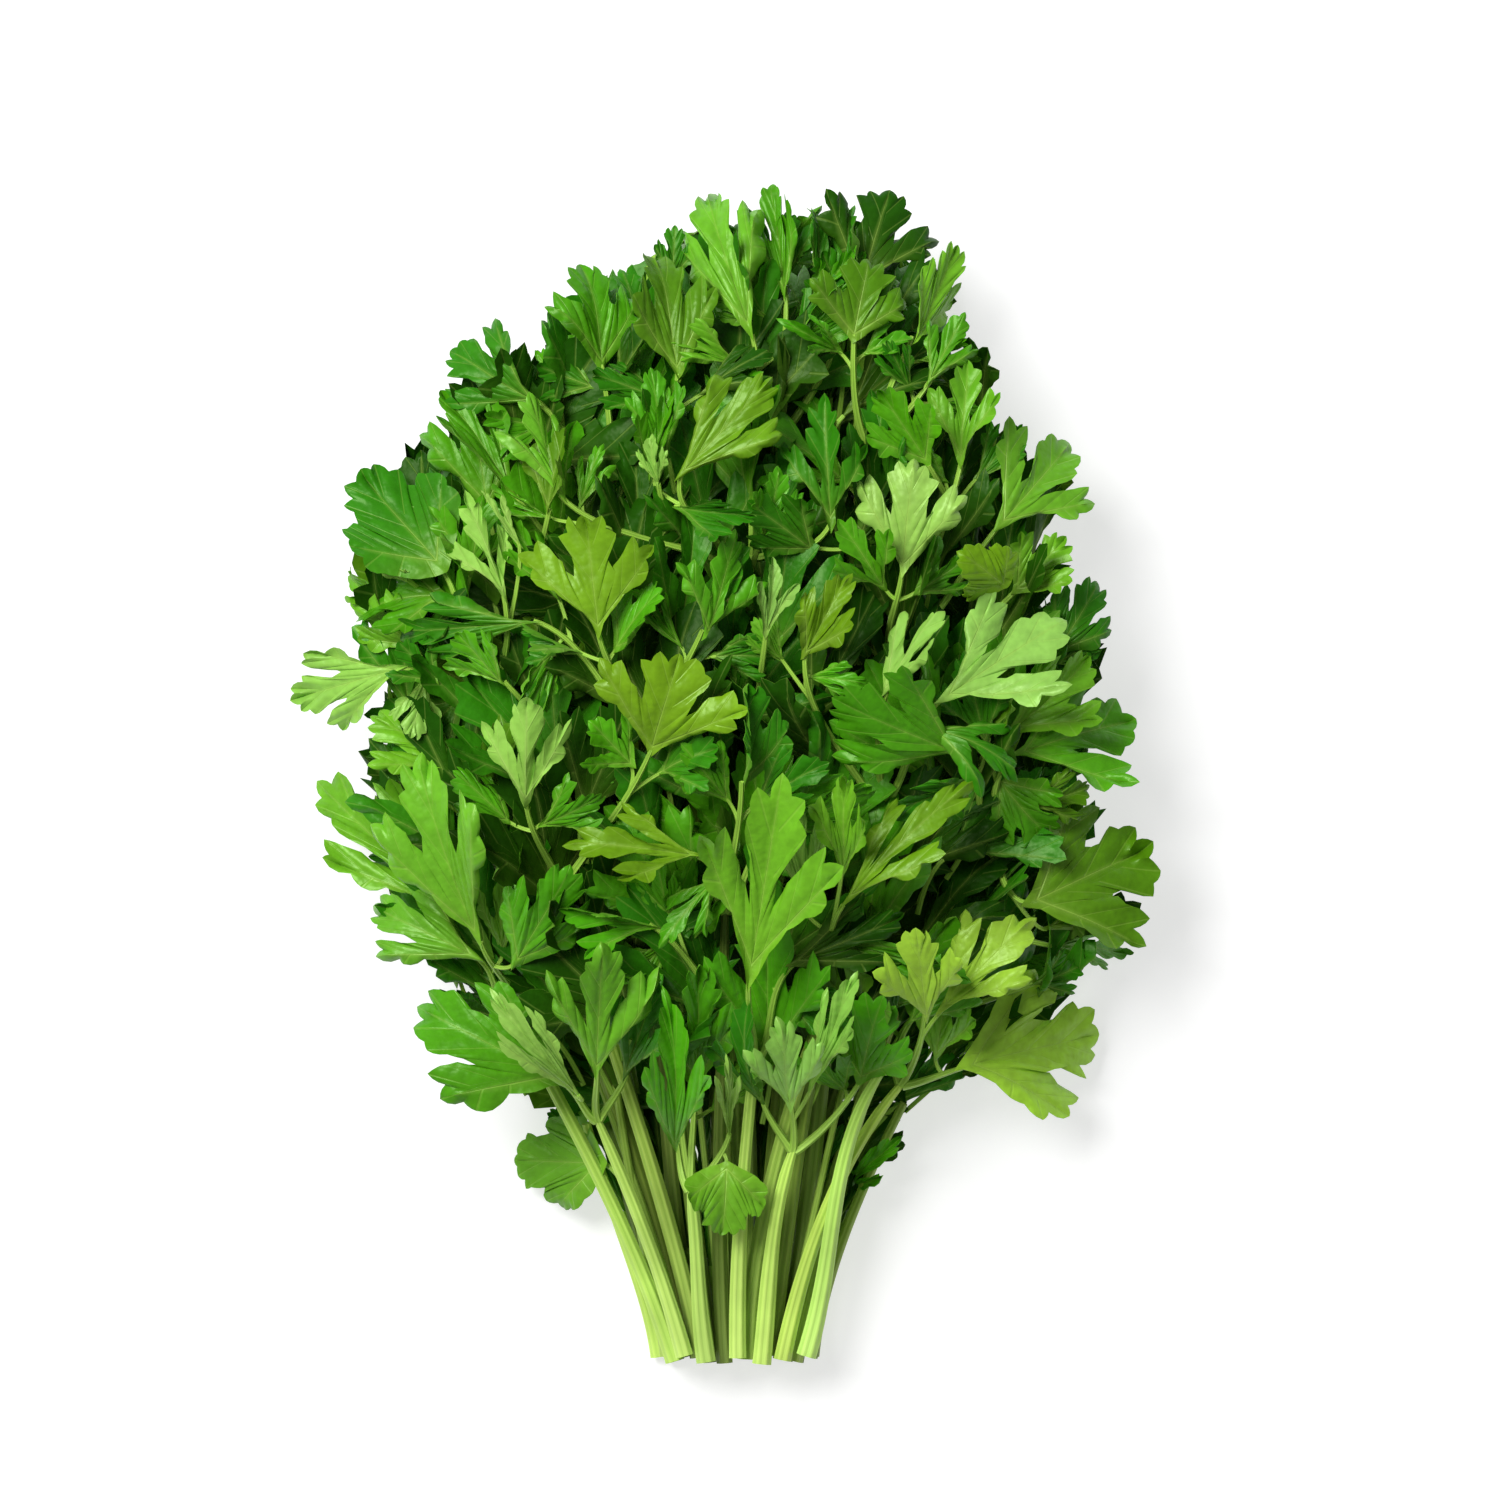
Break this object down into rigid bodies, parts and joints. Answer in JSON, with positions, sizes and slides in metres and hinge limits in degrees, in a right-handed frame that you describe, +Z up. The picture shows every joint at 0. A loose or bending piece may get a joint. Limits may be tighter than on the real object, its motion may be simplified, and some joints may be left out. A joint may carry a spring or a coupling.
{
  "type": "bunch of flat-leaf parsley",
  "caption": "Bunch of cut flat-leaf parsley lying on its side, its stems gathered at the cut ends and its lobed leaves spread in a low heap.",
  "frame": {"origin": "middle of the bunch's footprint on the surface it lies on", "axes": "+Y from the cut stem ends towards the leaf tips, +Z up from the surface, +X to the right when looking down with the leaf tips away from the viewer"},
  "size_m": [0.169, 0.2375, 0.0641],
  "materials": {
    "leaf": "fresh parsley leaf: rich green and slightly glossy above, paler and matt below",
    "stem": "fresh parsley stem: pale green, smooth and finely ribbed, with pale wet cut ends"
  },
  "bodies": {
    "root": {"stem_01": "stem", "stem_02": "stem", "stem_03": "stem", "stem_04": "stem", "stem_05": "stem", "stem_06": "stem", "stem_07": "stem", "stem_08": "stem", "stem_09": "stem", "stem_10": "stem", "stem_11": "stem", "stem_12": "stem", "stem_13": "stem", "stem_14": "stem", "stem_15": "stem", "pinna_01_left": "leaf", "pinna_01_middle": "leaf", "pinna_01_right": "leaf", "pinna_02_left": "leaf", "pinna_02_middle": "leaf", "pinna_02_right": "leaf", "pinna_03_left": "leaf", "pinna_03_middle": "leaf", "pinna_03_right": "leaf", "pinna_04_left": "leaf", "pinna_04_middle": "leaf", "pinna_04_right": "leaf", "pinna_05_left": "leaf", "pinna_05_middle": "leaf", "pinna_05_right": "leaf", "pinna_06_left": "leaf", "pinna_06_middle": "leaf", "pinna_06_right": "leaf", "pinna_07_left": "leaf", "pinna_07_middle": "leaf", "pinna_07_right": "leaf", "pinna_08_left": "leaf", "pinna_08_middle": "leaf", "pinna_08_right": "leaf", "pinna_09_left": "leaf", "pinna_09_middle": "leaf", "pinna_09_right": "leaf", "pinna_10_left": "leaf", "pinna_10_middle": "leaf", "pinna_10_right": "leaf", "pinna_11_left": "leaf", "pinna_11_middle": "leaf", "pinna_11_right": "leaf", "pinna_12_left": "leaf", "pinna_12_middle": "leaf", "pinna_12_right": "leaf", "pinna_13_left": "leaf", "pinna_13_middle": "leaf", "pinna_13_right": "leaf", "pinna_14_left": "leaf", "pinna_14_middle": "leaf", "pinna_14_right": "leaf", "pinna_15_left": "leaf", "pinna_15_middle": "leaf", "pinna_15_right": "leaf"}
  },
  "joints": []
}
